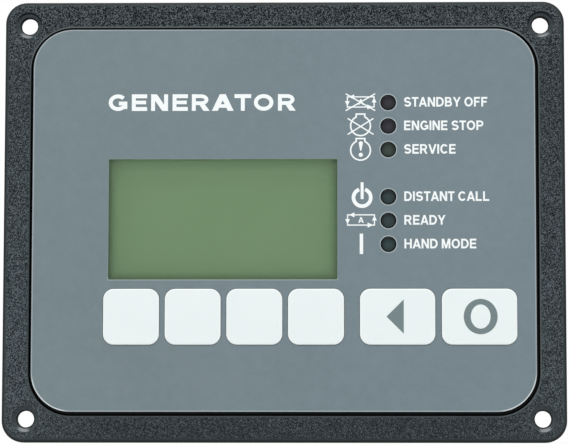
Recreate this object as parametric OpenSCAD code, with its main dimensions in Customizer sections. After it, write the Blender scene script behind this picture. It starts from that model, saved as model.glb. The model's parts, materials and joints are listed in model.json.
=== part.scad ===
// Generator set controller: a flange-mounted operator panel with six push keys, a
// liquid crystal display and six indicator lamps, closed at the rear by a moulded housing.
// Sub-parts are drawn lying on their back: x to the right, y up the panel, z towards the
// operator, with z = 0 on the rear face of the flange. stand() turns them upright, so the
// face looks along -Y and the flange's rear face lies in the plane Y = 0.

/* [Front bezel] */
// Width of the front panel
panel_w = 197; // [195:0.5:215]
// Height of the front panel
panel_h = 155.2; // [152:0.1:170]
// Corner radius of the front panel
panel_r = 7.5; // [4:0.5:9]
// Thickness of the flange
flange_t = 5; // [4.6:0.1:7]
// Radius of the flange's outer front edge
edge_round = 1.8; // [0.5:0.1:2.5]
// Width of the frame left and right of the groove
frame_side = 9.35; // [8.6:0.05:10.5]
// Width of the frame above and below the groove
frame_top = 9.3; // [8.4:0.1:10.5]
// Radius of the frame's inner edge at the groove
inner_round = 0.8; // [0.2:0.1:1.2]
// Width of the groove round the moulded face
moat_w = 0.55; // [0.5:0.05:1.2]
// Depth of the groove below the flange's front face
moat_depth = 3.4; // [1:0.1:3.6]
// Depth of the overlay's surface below the flange's front face
face_drop = 0.4; // [0:0.1:0.8]
// Thickness of the moulded face behind the overlay film
face_wall = 2.65; // [2:0.05:2.7]

/* [Mounting holes] */
// Distance of a hole's axis from the panel's side edge
hole_inset_x = 8.3; // [7.8:0.1:9]
// Distance of a hole's axis from the panel's top or bottom edge
hole_inset_y = 8.2; // [7.6:0.1:9]
// Diameter of the mounting holes
hole_d = 5.8; // [4.5:0.1:6.5]
// Diameter of the countersink at the front face
sink_d = 9.4; // [7.5:0.1:10]
// Depth of the straight recess in front of the countersink
sink_recess = 1.2; // [0.4:0.1:1.4]

/* [Overlay and display] */
// Corner radius of the overlay
overlay_r = 13.8; // [8:0.1:16]
// Width of the moulded face left bare round the overlay
film_margin = 0.4; // [0.2:0.05:0.6]
// Distance of the overlay left of the face's centre
film_left = 0.15; // [0:0.05:0.2]
// Distance of the overlay above the face's centre
film_up = 0.4; // [0:0.05:0.4]
// Thickness of the overlay film
film_t = 0.35; // [0.2:0.05:0.6]
// Width of the display window
window_w = 80.2; // [70:0.1:84]
// Height of the display window
window_h = 42.4; // [34:0.1:44]
// Distance of the window's centre left of the panel's centre
window_left = 21.45; // [20:0.05:23]
// Distance of the window's centre above the panel's centre
window_up = 0.45; // [0:0.05:1]
// Thickness of the clear window pane
pane_t = 1.2; // [0.8:0.1:1.6]
// Width of the ledge that carries the pane
pane_ledge = 2; // [1:0.1:2.6]
// Clearance round the pane
pane_gap = 0.15; // [0.05:0.05:0.3]

/* [Keys] */
// Width of a soft key
key_w = 19.6; // [17:0.1:20]
// Width of the two function keys
wide_key_w = 26.3; // [22:0.1:27]
// Height of every key
key_h = 19.6; // [17:0.1:20.4]
// Corner radius of a key
key_r = 3.7; // [2.4:0.1:5]
// Space between neighbouring soft keys
key_space = 1.95; // [1.9:0.05:2.4]
// Distance of the soft keys' centre left of the panel's centre
keys_left = 21.1; // [20:0.1:22]
// Space between the soft keys and the function keys
group_space = 5.5; // [4:0.1:6.5]
// Space between the two function keys
wide_key_space = 2.25; // [1.9:0.05:2.6]
// Space between the window and the keys below it
window_key_space = 3.25; // [3.1:0.05:4.2]
// Height of a key above the overlay
key_proud = 0.6; // [0.5:0.1:1.5]
// Radius of a key's upper edge
key_round = 0.5; // [0.2:0.1:0.5]
// Clearance round a key in the face
key_gap = 0.15; // [0.1:0.05:0.3]
// Wall of a key's hollow cap
key_wall = 1.3; // [1:0.1:1.8]
// Width of the lip that keeps a key in the face
key_lip = 0.75; // [0.5:0.05:0.8]
// Thickness of that lip
key_lip_t = 1.1; // [0.8:0.1:1.3]
// Clearance between the lip and the face at rest
key_rest_gap = 0.1; // [0.05:0.05:0.2]
// Travel of a key
key_travel = 0.5; // [0.3:0.05:0.6]
// Diameter of a key's stem
stem_d = 4; // [3.4:0.1:5]

/* [Indicator lamps] */
// Diameter of an indicator lens
lamp_d = 5.4; // [4:0.1:6]
// Distance of the lamp column right of the panel's centre
lamp_x = 36.55; // [35:0.05:60]
// Height of the top lamp above the panel's centre
lamp_top = 41.65; // [38:0.05:46]
// Spacing of the lamp rows
lamp_pitch = 8.34; // [7.8:0.01:8.6]
// Depth of a lens below the overlay's surface
lamp_recess = 0.1; // [0.05:0.05:0.4]
// Radius of a lens's front edge
lamp_round = 0.5; // [0.2:0.1:1]
// Clearance round a lens
lamp_gap = 0.1; // [0.05:0.05:0.2]
// Width of the shoulder that seats a lens behind the face
lamp_lip = 0.9; // [0.5:0.1:0.9]
// Thickness of that shoulder
lamp_lip_t = 0.8; // [0.5:0.1:1.5]
// Reach of a lens behind the face
lamp_tail = 3.2; // [2:0.1:4]
// Diameter of a light emitting diode
led_d = 5; // [3:0.1:5.2]
// Space between a diode and its lens
led_gap = 0.6; // [0.3:0.1:0.9]

/* [Display module] */
// Margin of the metal frame beside the window
lcd_side = 3.85; // [3:0.05:4.2]
// Margin of the metal frame above and below the window
lcd_top = 1.8; // [1.5:0.05:1.9]
// Depth of the metal frame
lcd_t = 6; // [5:0.1:8]
// Sheet thickness of the metal frame
lcd_sheet = 0.4; // [0.3:0.05:0.5]
// Distance of the sight edges behind the pane outside the window
sight_margin = 0.8; // [0.5:0.05:0.9]
// Thickness of the display glass
glass_t = 2.2; // [1.4:0.1:2.6]
// Thickness of the foam gasket in front of the frame
foam_t = 0.6; // [0.4:0.1:1]
// Overhang of the display's board beside the frame
lcd_board_side = 6.5; // [6.2:0.1:7.5]
// Overhang of the display's board above and below the frame
lcd_board_top = 7.2; // [6:0.1:8]
// Distance of the display's screws from its board's top and bottom edges
lcd_screw_inset = 10; // [9.5:0.1:20]
// Height of the pin header between the two boards
header_h = 5.2; // [4:0.1:8]
// Number of ways in that header
header_ways = 16; // [10:1:20]
// Pitch of that header
header_pitch = 2.54; // [2:0.01:2.54]
// Width of that header's strip
header_w = 2.5; // [2:0.1:3]

/* [Circuit boards] */
// Thickness of both boards
board_t = 1.6; // [1.2:0.1:2]
// Space between the main board's side edges and the housing wall
board_side_gap = 2.3; // [1.5:0.1:4]
// Space between the main board and the housing's screw columns
board_end_gap = 1; // [0.5:0.1:2]
// Distance of the main board's screws from its edges
board_screw_inset = 3.5; // [3.2:0.1:5]
// Diameter of the posts that carry the boards
post_d = 5; // [4.4:0.1:5.4]
// Width of a key switch's body
switch_w = 6.2; // [5.4:0.1:8]
// Height of a key switch's body
switch_h = 3.5; // [3:0.1:4]
// Diameter of a switch plunger
plunger_d = 3.4; // [2.4:0.1:4]
// Height of a plunger above its switch
plunger_proud = 1; // [0.8:0.1:2]
// Depth of a plunger in its switch
plunger_deep = 1.4; // [0.8:0.1:1.6]
// Clearance round a plunger, and below it at the end of its travel
plunger_gap = 0.2; // [0.1:0.05:0.3]
// Diameter of the filter capacitors
capacitor_d = 8; // [6:0.5:10]
// Height of the filter capacitors
capacitor_h = 9.5; // [8:0.1:14]
// Width of the processor's body
processor_w = 14; // [10:1:18]
// Width of the output driver's body
driver_w = 7.5; // [5:0.5:9]
// Length of the output driver's body
driver_l = 12.8; // [8:0.1:16]
// Height of the chips above the board
chip_h = 1.6; // [1:0.1:2.6]
// Width of the power coil
coil_w = 12; // [8:0.5:14]
// Height of the power coil
coil_h = 7; // [4:0.5:8]
// Length of the crystal
crystal_l = 11; // [8:0.1:12]
// Width of the crystal
crystal_w = 4.6; // [3.5:0.1:5]
// Corner radius of the crystal's can
crystal_r = 2; // [0.5:0.1:2.2]
// Height of the crystal
crystal_h = 3.5; // [2.5:0.1:5]
// Pitch of the chips' leads
lead_pitch = 1; // [0.65:0.05:1.27]
// Length of the chips' leads
lead_l = 1; // [0.5:0.1:1.5]
// Thickness of the chips' leads
lead_t = 0.25; // [0.15:0.05:0.4]

/* [Rear housing] */
// Width of the flange left and right of the housing
housing_inset_x = 11.5; // [11:0.1:12.2]
// Width of the flange above and below the housing
housing_inset_y = 12.7; // [11:0.1:13]
// Corner radius of the housing
housing_r = 10; // [8:0.5:14]
// Wall of the housing
housing_wall = 2.2; // [1.6:0.1:2.4]
// Radius of the housing's rear edges
housing_round = 2.5; // [1:0.1:4]
// Space behind the tallest component
rear_gap = 1.3; // [0.6:0.1:6]
// Depth of the groove in the flange that takes the housing's rim
rim_groove = 1.2; // [0.8:0.1:1.3]
// Thickness of the seal at the bottom of that groove
seal_t = 0.6; // [0.4:0.1:0.7]
// Clearance beside the rim in its groove
rim_gap = 0.15; // [0.1:0.05:0.3]
// Wall between that groove and the hollow behind the face
groove_wall = 1.4; // [1:0.1:1.5]
// Thickness of the panel gasket
gasket_t = 1.5; // [1:0.1:3]
// Setback of the panel gasket from the flange's edge
gasket_inset = 1.5; // [1:0.1:3]
// Clearance between the panel gasket and the housing
gasket_gap = 0.5; // [0.2:0.1:1]
// Clearance round the mounting holes in the panel gasket
gasket_hole_gap = 0.8; // [0.2:0.1:1]

/* [Screws] */
// Clearance between the screw bosses and the housing's inner corners
boss_gap = 0.5; // [0.3:0.1:1]
// Diameter of the housing screws
screw_d = 3; // [2.5:0.1:3.5]
// Diameter of the housing screws' heads
screw_head_d = 5.6; // [5:0.1:6]
// Height of the housing screws' heads
screw_head_h = 2.2; // [1.6:0.1:2.6]
// Depth of a head below the housing's rear face
screw_sunk = 0.6; // [0.2:0.1:2]
// Diameter of the screw columns and of the bosses that meet them
column_d = 8; // [7.4:0.1:8.4]
// Length of the bosses behind the flange
boss_l = 6; // [3:0.5:10]
// Gap between a boss and its column
column_gap = 0.2; // [0.1:0.1:0.5]
// Thread engagement of the housing screws
screw_bite = 6.4; // [4:0.1:7]
// Diameter of the board screws
board_screw_d = 2.5; // [2:0.1:2.8]
// Diameter of the board screws' heads
board_screw_head_d = 4.5; // [4:0.1:5]
// Height of the board screws' heads
board_screw_head_h = 1.6; // [1.2:0.1:2]
// Thread engagement of the board screws
board_screw_bite = 5; // [3:0.1:5.4]
// Clearance of a screw in the hole that it passes through
screw_gap = 0.2; // [0.1:0.05:0.3]
// Clearance of a thread in its boss
thread_gap = 0.05; // [0.02:0.01:0.1]

/* [Rear sockets] */
// Pitch of the socket pins
pin_pitch = 4.2; // [3.5:0.1:5]
// Pin columns in the harness socket
harness_columns = 6; // [2:1:8]
// Pin columns in the remote socket
remote_columns = 4; // [2:1:6]
// Height of the sockets' axes below the panel's centre
socket_drop = 26; // [10:0.5:30]
// Distance of the harness socket left of the panel's centre
harness_left = 36; // [30:0.5:46]
// Distance of the remote socket right of the panel's centre
remote_right = 14; // [10:0.5:40]
// Wall of a socket's shroud
shroud_wall = 1.2; // [0.8:0.1:1.6]
// Floor of a socket
socket_floor = 2.5; // [1.5:0.1:3]
// Height of a shroud above the housing's rear face
socket_proud = 1; // [0.5:0.1:4]
// Space between the pins' outer pitch lines and the shroud
socket_room = 0.3; // [0.2:0.1:0.6]
// Clearance of a socket in the housing
socket_gap = 0.4; // [0.2:0.1:0.8]
// Width of a pin
pin_w = 1.1; // [0.8:0.05:1.2]
// Length of a pin above its socket's floor
pin_l = 6.5; // [5:0.1:7]
// Length of a pin's tail in front of the main board
pin_tail = 1.5; // [1:0.1:2]
// Clearance of a pin in the floor and the board
pin_gap = 0.05; // [0.02:0.01:0.1]
// Width of the key slot in a shroud
slot_w = 4; // [2:0.1:6]
// Depth of that slot below the mouth
slot_deep = 5; // [2:0.1:6]

/* [Hidden] */
$fn = 48;
cut = 1;
soft_keys = 4;
lamp_rows = [0, 1, 2, 4, 5, 6];
lamp_kinds = ["red", "red", "amber", "green", "green", "green"];

// Colours of the moulded, printed and metal parts
black_plastic = [0.23, 0.26, 0.28];
grey_film = [0.47, 0.53, 0.55];
white_plastic = [0.92, 0.95, 0.95];
clear_pane = [0.8, 0.9, 0.85, 0.4];
lcd_green = [0.45, 0.56, 0.42];
board_green = [0.1, 0.35, 0.2];
steel = [0.72, 0.73, 0.75];
tin = [0.8, 0.78, 0.7];
rubber = [0.12, 0.12, 0.13];
chip_black = [0.15, 0.15, 0.16];
sleeve_blue = [0.12, 0.16, 0.3];

// Outlines of the frame's opening, the moulded face and the overlay, from the outside in
opening_w = panel_w - 2 * frame_side;
opening_h = panel_h - 2 * frame_top;
face_w = opening_w - 2 * moat_w;
face_h = opening_h - 2 * moat_w;
overlay_w = face_w - 2 * film_margin;
overlay_h = face_h - 2 * film_margin;
face_r = overlay_r + film_margin;
opening_r = face_r + moat_w;
overlay_place = [-film_left, film_up];
hole_x = panel_w / 2 - hole_inset_x;
hole_y = panel_h / 2 - hole_inset_y;
hole_places = [for (x = [-1, 1], y = [-1, 1]) [x * hole_x, y * hole_y]];

// Levels through the face, from the front to the back
film_front = flange_t - face_drop;
key_top = film_front + key_proud;
face_z = film_front - film_t;
plate_back = face_z - face_wall;
moat_floor = flange_t - moat_depth;
lip_top = plate_back - key_rest_gap;
lip_bottom = lip_top - key_lip_t;

// Levels through the electronics
lcd_front = plate_back - foam_t;
lcd_back = lcd_front - lcd_t;
lcd_board_back = lcd_back - board_t;
board_front = lcd_board_back - header_h;
board_back = board_front - board_t;
switch_top = board_front + switch_h;
stem_end = switch_top + plunger_proud;
plunger_end = switch_top - plunger_deep;
lamp_front = film_front - lamp_recess;
lamp_end = plate_back - lamp_tail;
led_top = lamp_end - led_gap;

// Levels of the housing
floor_inside = board_back - capacitor_h - rear_gap;
housing_rear = floor_inside - housing_wall;
rim_top = rim_groove - seal_t;
screw_seat = housing_rear + screw_sunk + screw_head_h;
socket_mouth = housing_rear - socket_proud;
socket_base = board_back - socket_floor;
pin_tip = socket_base - pin_l;

// Outlines of the display, the housing and the main board
window_place = [-window_left, window_up];
lcd_w = window_w + 2 * lcd_side;
lcd_h = window_h + 2 * lcd_top;
lcd_board_w = lcd_w + 2 * lcd_board_side;
lcd_board_h = lcd_h + 2 * lcd_board_top;
housing_w = panel_w - 2 * housing_inset_x;
housing_h = panel_h - 2 * housing_inset_y;
inside_w = housing_w - 2 * housing_wall;
inside_h = housing_h - 2 * housing_wall;
inside_r = housing_r - housing_wall;
pocket_margin = rim_gap + groove_wall;
boss_offset = (inside_r - boss_gap - column_d / 2) / sqrt(2);
screw_x = inside_w / 2 - inside_r + boss_offset;
screw_y = inside_h / 2 - inside_r + boss_offset;
board_w = inside_w - 2 * board_side_gap;
board_h = 2 * screw_y - column_d - 2 * board_end_gap;
socket_h = 2 * pin_pitch + 2 * socket_room;

// Places of the keys, lamps, screws and sockets
key_y = window_up - window_h / 2 - window_key_space - key_h / 2;
key_step = key_w + key_space;
soft_xs = [for (i = [0 : soft_keys - 1]) -keys_left + (i - (soft_keys - 1) / 2) * key_step];
back_x = soft_xs[soft_keys - 1] + key_w / 2 + group_space + wide_key_w / 2;
off_x = back_x + wide_key_w + wide_key_space;
key_xs = concat(soft_xs, [back_x, off_x]);
key_ws = concat([for (i = [1 : soft_keys]) key_w], [wide_key_w, wide_key_w]);
key_count = len(key_xs);
lamp_ys = [for (row = lamp_rows) lamp_top - row * lamp_pitch];
lamp_count = len(lamp_ys);
housing_screw_places = [for (x = [-screw_x, 0, screw_x], y = [-screw_y, screw_y]) [x, y]];
board_screw_x = board_w / 2 - board_screw_inset;
board_screw_y = board_h / 2 - board_screw_inset;
board_screw_places = [for (x = [-1, 1], y = [-1, 1]) [x * board_screw_x, y * board_screw_y]];
lcd_screw_x = (lcd_w + lcd_board_side) / 2;
lcd_screw_y = lcd_board_h / 2 - lcd_screw_inset;
lcd_screw_places = [for (x = [-1, 1], y = [-1, 1]) window_place + [x * lcd_screw_x, y * lcd_screw_y]];
harness_place = [-harness_left, -socket_drop];
remote_place = [remote_right, -socket_drop];

// Places of the components on the rear of the main board
processor_place = [-20, 18];
driver_place = [22, 16];
coil_place = [50, 20];
crystal_place = [-40, 18];
capacitor_places = [[46, -4], [58, -4]];

KEY_NAMES = concat([for (i = [1 : soft_keys]) str("soft_key_", i)], ["back_key", "off_key"]);
LENS_NAMES = [for (i = [1 : lamp_count]) str("indicator_lens_", i)];
LED_NAMES = [for (i = [1 : lamp_count]) str("led_", i)];
SWITCH_NAMES = [for (i = [1 : key_count]) str("key_switch_", i)];
PLUNGER_NAMES = [for (i = [1 : key_count]) str("switch_plunger_", i)];
CAPACITOR_NAMES = [for (i = [1 : len(capacitor_places)]) str("filter_capacitor_", i)];
SINGLE_NAMES = [
    "front_bezel", "graphic_overlay", "display_window",
    "lcd_gasket", "lcd_frame", "lcd_glass", "lcd_backlight", "lcd_board", "lcd_header",
    "main_board", "processor", "output_driver", "crystal", "power_coil",
    "harness_socket", "harness_pins", "remote_socket", "remote_pins",
    "rear_housing", "housing_seal", "panel_gasket",
    "housing_screws", "board_screws", "display_screws"
];

// Turns a part that lies on its back upright, face towards -Y
module stand() {
    rotate([90, 0, 0]) children();
}

// Repeats a shape at a list of places on the panel
module at(places) {
    for (place = places)
        translate(place) children();
}

// Rectangle with round corners, about the origin
module rounded_rect(w, h, r) {
    square([w - 2 * r, h], center = true);
    square([w, h - 2 * r], center = true);
    for (sx = [-1, 1], sy = [-1, 1])
        translate([sx * (w / 2 - r), sy * (h / 2 - r)]) circle(r);
}

// Rounded plate between two levels
module slab(w, h, r, from, to) {
    translate([0, 0, from]) linear_extrude(to - from) rounded_rect(w, h, r);
}

// Rounded frame between two levels, with the given widths outside and inside
module ring(outer, inner, from, to) {
    translate([0, 0, from]) linear_extrude(to - from) difference() {
        rounded_rect(outer[0], outer[1], outer[2]);
        rounded_rect(inner[0], inner[1], inner[2]);
    }
}

// Sweeps a profile round a rounded rectangle: x is the distance outward from the line of
// the corner centres and y is the height
module around(w, h, r) {
    for (side = [0 : 3]) {
        run = side % 2 == 0 ? h - 2 * r : w - 2 * r;
        reach = side % 2 == 0 ? w / 2 - r : h / 2 - r;
        rotate(90 * side) translate([reach, 0, 0]) rotate([90, 0, 0])
            linear_extrude(run, center = true) children();
    }
    for (corner = [0 : 3]) {
        sx = corner == 0 || corner == 3 ? 1 : -1;
        sy = corner < 2 ? 1 : -1;
        translate([sx * (w / 2 - r), sy * (h / 2 - r), 0]) rotate(90 * corner)
            rotate_extrude(angle = 90) children();
    }
}

// Half section of a plate or pin of radius r and height t whose top edge is rounded
module edge_profile(r, t, edge) {
    square([r, t - edge]);
    square([r - edge, t]);
    translate([r - edge, t - edge]) intersection() {
        circle(edge);
        square(edge);
    }
}

// Rounded plate whose top edge is rounded too
module crowned_slab(w, h, r, from, to, edge) {
    translate([0, 0, from]) {
        around(w, h, r) edge_profile(r, to - from, edge);
        linear_extrude(to - from) square([w - 2 * r, h - 2 * r], center = true);
    }
}

// Round post or pin between two levels
module post(d, from, to) {
    translate([0, 0, from]) cylinder(h = to - from, d = d);
}

// Pan head screw that points along +z, with its head below the seat
module pan_screw(d, head_d, head_h, seat, bite_end) {
    slot = head_d / 6;
    difference() {
        translate([0, 0, seat]) mirror([0, 0, 1]) rotate_extrude()
            edge_profile(head_d / 2, head_h, head_h / 2);
        for (turn = [0, 90])
            rotate(turn) translate([0, 0, seat - head_h])
                cube([head_d / 2, slot, head_h], center = true);
    }
    post(d, seat, bite_end);
}

// Openings for the display, the keys and the lamps in the film and in the moulded face
module face_cutouts(window_margin) {
    translate(window_place)
        square([window_w + 2 * window_margin, window_h + 2 * window_margin], center = true);
    for (i = [0 : key_count - 1])
        translate([key_xs[i], key_y])
            rounded_rect(key_ws[i] + 2 * key_gap, key_h + 2 * key_gap, key_r + key_gap);
    for (y = lamp_ys)
        translate([lamp_x, y]) circle(d = lamp_d + 2 * lamp_gap);
}

// Groove round the moulded face, which is set back to take the film
module bezel_groove() {
    slab(opening_w, opening_h, opening_r, face_z, flange_t + cut);
    ring([opening_w, opening_h, opening_r], [face_w, face_h, face_r], moat_floor, flange_t);
    around(opening_w, opening_h, opening_r)
        translate([opening_r, flange_t - inner_round]) difference() {
            square([inner_round, inner_round + cut]);
            translate([inner_round, 0]) circle(inner_round);
        }
}

// Hollow behind the face, and the groove that takes the housing's rim
module bezel_pocket() {
    slab(inside_w - 2 * pocket_margin, inside_h - 2 * pocket_margin, inside_r - pocket_margin,
        -cut, plate_back);
    ring([housing_w + 2 * rim_gap, housing_h + 2 * rim_gap, housing_r + rim_gap],
        [inside_w - 2 * rim_gap, inside_h - 2 * rim_gap, inside_r - rim_gap], -cut, rim_groove);
}

// Posts for the boards and bosses for the housing screws, moulded on the face
module bezel_posts() {
    at(housing_screw_places) post(column_d, -boss_l, plate_back);
    at(board_screw_places) post(post_d, board_front, plate_back);
    at(lcd_screw_places) post(post_d, lcd_back, plate_back);
}

// Screw holes in those posts and bosses
module bezel_pilots() {
    at(housing_screw_places) post(screw_d + 2 * thread_gap, -boss_l - cut, screw_bite - boss_l);
    at(board_screw_places)
        post(board_screw_d + 2 * thread_gap, board_front - cut, board_front + board_screw_bite);
    at(lcd_screw_places)
        post(board_screw_d + 2 * thread_gap, lcd_back - cut, lcd_back + board_screw_bite);
}

// Recessed and countersunk mounting holes in the corners of the flange
module mounting_holes() {
    sink_deep = (sink_d - hole_d) / 2;
    sink_top = flange_t - sink_recess;
    at(hole_places) {
        post(hole_d, -cut, flange_t + cut);
        translate([0, 0, sink_top - sink_deep]) cylinder(h = sink_deep, d1 = hole_d, d2 = sink_d);
        post(sink_d, sink_top, flange_t + cut);
    }
}

module front_bezel() {
    color(black_plastic) stand() difference() {
        union() {
            difference() {
                crowned_slab(panel_w, panel_h, panel_r, 0, flange_t, edge_round);
                bezel_groove();
                bezel_pocket();
            }
            bezel_posts();
        }
        bezel_pilots();
        mounting_holes();
        linear_extrude(flange_t) face_cutouts(sight_margin);
        translate([window_place[0], window_place[1], face_z - pane_t]) linear_extrude(flange_t)
            square([window_w + 2 * pane_ledge, window_h + 2 * pane_ledge], center = true);
    }
}

module graphic_overlay() {
    color(grey_film) stand() translate([0, 0, face_z]) linear_extrude(film_t) difference() {
        translate(overlay_place) rounded_rect(overlay_w, overlay_h, overlay_r);
        face_cutouts(0);
    }
}

// Stands a layer of the display upright behind the window, with its rear at a level
module behind_window(level) {
    stand() translate([window_place[0], window_place[1], level]) children();
}

module display_window() {
    pane_margin = pane_ledge - pane_gap;
    color(clear_pane) behind_window(face_z - pane_t) linear_extrude(pane_t)
        square([window_w + 2 * pane_margin, window_h + 2 * pane_margin], center = true);
}

// Hollow cap with a retaining lip and a stem that reaches back to the switch
module key(i) {
    w = key_ws[i];
    cap_inside = key_top - key_wall;
    color(white_plastic) stand() translate([key_xs[i], key_y, 0]) {
        difference() {
            union() {
                crowned_slab(w, key_h, key_r, lip_bottom, key_top, key_round);
                slab(w + 2 * key_lip, key_h + 2 * key_lip, key_r + key_lip, lip_bottom, lip_top);
            }
            slab(w - 2 * key_wall, key_h - 2 * key_wall, key_r - key_wall, lip_bottom - cut, cap_inside);
        }
        post(stem_d, stem_end, cap_inside);
    }
}

module switch_plunger(i) {
    color(chip_black) stand() translate([key_xs[i], key_y, 0]) post(plunger_d, plunger_end, stem_end);
}

module key_switch(i) {
    color(chip_black) stand() translate([key_xs[i], key_y, 0]) difference() {
        translate([0, 0, board_front]) linear_extrude(switch_h) square(switch_w, center = true);
        post(plunger_d + 2 * plunger_gap, plunger_end - key_travel - plunger_gap, switch_top + cut);
    }
}

// Light pipe with a rounded front edge and a shoulder behind the face
module indicator_lens(i) {
    tint = lamp_kinds[i] == "red" ? [0.3, 0.12, 0.12]
        : lamp_kinds[i] == "amber" ? [0.28, 0.26, 0.14] : [0.14, 0.28, 0.22];
    color(tint) stand() translate([lamp_x, lamp_ys[i], 0]) rotate_extrude() {
        translate([0, lamp_end]) edge_profile(lamp_d / 2, lamp_front - lamp_end, lamp_round);
        translate([0, plate_back - lamp_lip_t]) square([lamp_d / 2 + lamp_lip, lamp_lip_t]);
    }
}

// Domed diode on the main board, with the collar at its base
module led(i) {
    collar = 0.4;
    collar_h = 1;
    dome = led_d / 2 - collar;
    tint = lamp_kinds[i] == "red" ? [0.75, 0.1, 0.1]
        : lamp_kinds[i] == "amber" ? [0.85, 0.6, 0.1] : [0.15, 0.7, 0.3];
    color(tint) stand() translate([lamp_x, lamp_ys[i], board_front]) rotate_extrude() {
        edge_profile(led_d / 2, led_top - board_front, dome);
        square([led_d / 2 + collar, collar_h]);
    }
}

module lcd_gasket() {
    color(rubber) behind_window(lcd_front) linear_extrude(foam_t) difference() {
        square([lcd_w, lcd_h], center = true);
        square([window_w + 2 * sight_margin, window_h + 2 * sight_margin], center = true);
    }
}

// Folded sheet frame, open at the back, with its sight edge round the window
module lcd_frame() {
    color(steel) behind_window(lcd_back) difference() {
        linear_extrude(lcd_t) square([lcd_w, lcd_h], center = true);
        translate([0, 0, -cut]) linear_extrude(lcd_t - lcd_sheet + cut)
            square([lcd_w - 2 * lcd_sheet, lcd_h - 2 * lcd_sheet], center = true);
        linear_extrude(lcd_t + cut)
            square([window_w + 2 * sight_margin, window_h + 2 * sight_margin], center = true);
    }
}

// Plate that fills the display's metal frame between two levels
module lcd_layer(from, to) {
    margin = 2 * lcd_sheet + 2 * pane_gap;
    behind_window(from) linear_extrude(to - from)
        square([lcd_w - margin, lcd_h - margin], center = true);
}

module lcd_glass() {
    color(lcd_green) lcd_layer(lcd_front - lcd_sheet - glass_t, lcd_front - lcd_sheet);
}

module lcd_backlight() {
    color(white_plastic) lcd_layer(lcd_back, lcd_front - lcd_sheet - glass_t);
}

module lcd_board() {
    color(board_green) difference() {
        behind_window(lcd_board_back) linear_extrude(board_t)
            square([lcd_board_w, lcd_board_h], center = true);
        stand() at(lcd_screw_places)
            post(board_screw_d + 2 * screw_gap, lcd_board_back - cut, lcd_back + cut);
    }
}

module lcd_header() {
    color(chip_black) behind_window(board_front) translate([0, lcd_board_h / 2 - header_w])
        linear_extrude(header_h) square([header_ways * header_pitch, header_w], center = true);
}

// Centres of a socket's pins about its own axis
function pin_places(columns) = [
    for (column = [0 : columns - 1], row = [-0.5, 0.5])
        [(column - (columns - 1) / 2) * pin_pitch, row * pin_pitch]
];

// Square section at every pin of a socket
module pin_sections(columns, w) {
    at(pin_places(columns)) square(w, center = true);
}

module main_board() {
    hole_w = pin_w + 2 * pin_gap;
    color(board_green) stand() difference() {
        translate([0, 0, board_back]) linear_extrude(board_t) difference() {
            square([board_w, board_h], center = true);
            translate(harness_place) pin_sections(harness_columns, hole_w);
            translate(remote_place) pin_sections(remote_columns, hole_w);
        }
        at(board_screw_places) post(board_screw_d + 2 * screw_gap, board_back - cut, board_front + cut);
    }
}

// Body of a component that stands on the rear of the main board
module rear_component(place, h) {
    stand() translate([place[0], place[1], board_back - h]) linear_extrude(h) children();
}

// Row of leads along one edge of a chip, at a distance from its centre
module lead_row(edge_l, distance) {
    leads = floor((edge_l - lead_pitch) / lead_pitch);
    for (i = [0 : leads - 1])
        translate([distance + lead_l / 2, (i - (leads - 1) / 2) * lead_pitch])
            square([lead_l, lead_pitch / 2], center = true);
}

module processor() {
    color(chip_black) {
        rear_component(processor_place, chip_h) square(processor_w, center = true);
        for (turn = [0 : 90 : 270])
            rear_component(processor_place, lead_t) rotate(turn) lead_row(processor_w, processor_w / 2);
    }
}

module output_driver() {
    color(chip_black) {
        rear_component(driver_place, chip_h) square([driver_w, driver_l], center = true);
        for (turn = [0, 180])
            rear_component(driver_place, lead_t) rotate(turn) lead_row(driver_l, driver_w / 2);
    }
}

module crystal() {
    color(steel) rear_component(crystal_place, crystal_h)
        rounded_rect(crystal_w, crystal_l, crystal_r);
}

module power_coil() {
    color(chip_black) rear_component(coil_place, coil_h) rounded_rect(coil_w, coil_w, coil_w / 4);
}

module filter_capacitor(i) {
    color(sleeve_blue) stand() translate([capacitor_places[i][0], capacitor_places[i][1], board_back])
        mirror([0, 0, 1]) rotate_extrude() edge_profile(capacitor_d / 2, capacitor_h, capacitor_d / 10);
}

// Outline of the space inside a socket, grown by a margin on every side
module socket_outline(columns, margin) {
    square([columns * pin_pitch + 2 * socket_room + 2 * margin, socket_h + 2 * margin], center = true);
}

// Shrouded socket on the main board that opens to the rear, with a key slot in its upper wall
module socket(place, columns) {
    color(chip_black) stand() translate([place[0], place[1], 0]) difference() {
        translate([0, 0, socket_mouth]) linear_extrude(board_back - socket_mouth)
            socket_outline(columns, shroud_wall);
        translate([0, 0, socket_mouth - cut]) linear_extrude(socket_base - socket_mouth + cut)
            socket_outline(columns, 0);
        translate([0, 0, socket_mouth - cut]) linear_extrude(board_back - socket_mouth + 2 * cut)
            pin_sections(columns, pin_w + 2 * pin_gap);
        translate([-slot_w / 2, 0, socket_mouth - cut]) cube([slot_w, socket_h, slot_deep + cut]);
    }
}

// Pins of a socket, from their tails in front of the main board to their tips
module socket_pins(place, columns) {
    color(tin) stand() translate([place[0], place[1], pin_tip])
        linear_extrude(board_front + pin_tail - pin_tip) pin_sections(columns, pin_w);
}

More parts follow.
